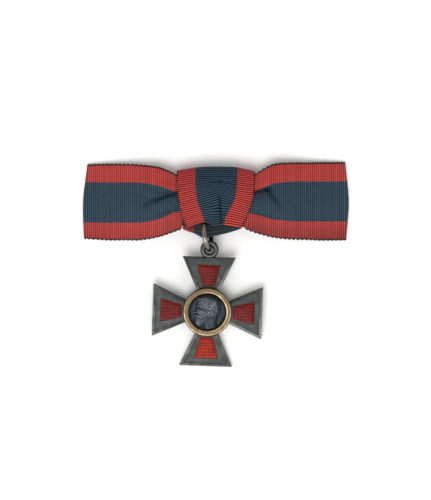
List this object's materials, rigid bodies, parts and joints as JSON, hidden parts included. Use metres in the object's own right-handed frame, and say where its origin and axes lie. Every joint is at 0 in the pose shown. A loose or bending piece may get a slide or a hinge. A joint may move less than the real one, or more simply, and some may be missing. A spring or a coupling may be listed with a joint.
{
  "type": "breast badge on a ribbon bow",
  "caption": "Cross pattee with red enamelled arms and a gilt-ringed medallion, hung by a jump ring from a striped ribbon bow, lying on its back.",
  "frame": {"origin": "middle of the badge's outline, on the surface it lies on", "axes": "+X along the bow, to the right of the badge seen from its front; +Y from the cross towards the bow; +Z out of the badge's front"},
  "size_m": [0.085, 0.0656, 0.0103],
  "materials": {
    "ribbon": "ribbed ribbon, red, blue and red stripes",
    "ring_silver": "worn dark silver",
    "cross_silver": "oxidised silver with worn edges",
    "gilt": "worn gilt",
    "medallion_silver": "dark oxidised silver",
    "enamel": "red enamel over an engraved ground",
    "pin_steel": "plain satin"
  },
  "bodies": {
    "root": {"bow_ribbon": "ribbon", "centre_wrap": "ribbon", "jump_ring": "ring_silver", "cross": "cross_silver", "medallion_rim": "gilt", "medallion": "medallion_silver", "enamel_top": "enamel", "enamel_right": "enamel", "enamel_bottom": "enamel", "enamel_left": "enamel", "brooch_pin": "pin_steel"}
  },
  "joints": []
}
